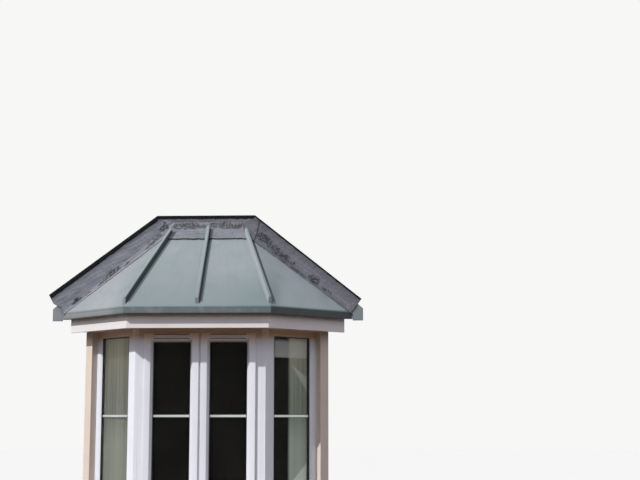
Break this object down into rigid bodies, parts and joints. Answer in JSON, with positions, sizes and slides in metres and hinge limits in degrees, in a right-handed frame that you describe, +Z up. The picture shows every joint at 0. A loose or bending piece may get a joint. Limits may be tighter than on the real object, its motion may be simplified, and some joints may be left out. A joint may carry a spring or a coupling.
{
  "type": "bay window",
  "caption": "Splayed bay window on a rendered dwarf wall, with white plastic casement and fixed lights under a moulded hipped canopy with rolls and lead flashing.",
  "frame": {"origin": "centre of the bay's outline, at ground level under the walls", "axes": "+X to the right seen from the street, -Y out of the house towards the street, +Z up"},
  "size_m": [2.7158, 0.6726, 3.3447],
  "materials": {
    "render": "coarse painted render",
    "floor": "power-floated screed",
    "cast_stone": "fine cast stone",
    "frame_plastic": "white window plastic",
    "glass": "clear sealed units, dark from outside",
    "board_paint": "white painted board",
    "ceiling_paint": "matt white plasterboard",
    "timber": "sawn softwood",
    "fascia_plastic": "white fascia board",
    "canopy": "weathered grey-green moulding",
    "lead": "dull dressed lead with pale smears",
    "handle_metal": "white painted handle"
  },
  "bodies": {
    "root": {"floor_slab": "floor", "dwarf_wall_front": "render", "dwarf_wall_left": "render", "dwarf_wall_right": "render", "nib_left": "render", "nib_right": "render", "stone_course_front": "cast_stone", "stone_course_left": "cast_stone", "stone_course_right": "cast_stone", "sill_front": "frame_plastic", "sill_left": "frame_plastic", "sill_right": "frame_plastic", "frame_front": "frame_plastic", "frame_left": "frame_plastic", "frame_right": "frame_plastic", "casement_left": "frame_plastic", "casement_right": "frame_plastic", "glass_casement_left": "glass", "glass_casement_right": "glass", "glass_side_left": "glass", "glass_side_right": "glass", "corner_post_left": "frame_plastic", "corner_post_right": "frame_plastic", "trickle_vent_left": "frame_plastic", "trickle_vent_right": "frame_plastic", "handle_left": "handle_metal", "handle_right": "handle_metal", "window_board": "board_paint", "ceiling_board": "ceiling_paint", "head_plate_front": "timber", "head_plate_left": "timber", "head_plate_right": "timber", "soffit_front": "fascia_plastic", "soffit_left": "fascia_plastic", "soffit_right": "fascia_plastic", "fascia_front": "fascia_plastic", "fascia_left": "fascia_plastic", "fascia_right": "fascia_plastic", "roof_deck": "timber", "canopy_shell": "canopy", "flashing_top": "lead", "flashing_left": "lead", "flashing_right": "lead"}
  },
  "joints": []
}
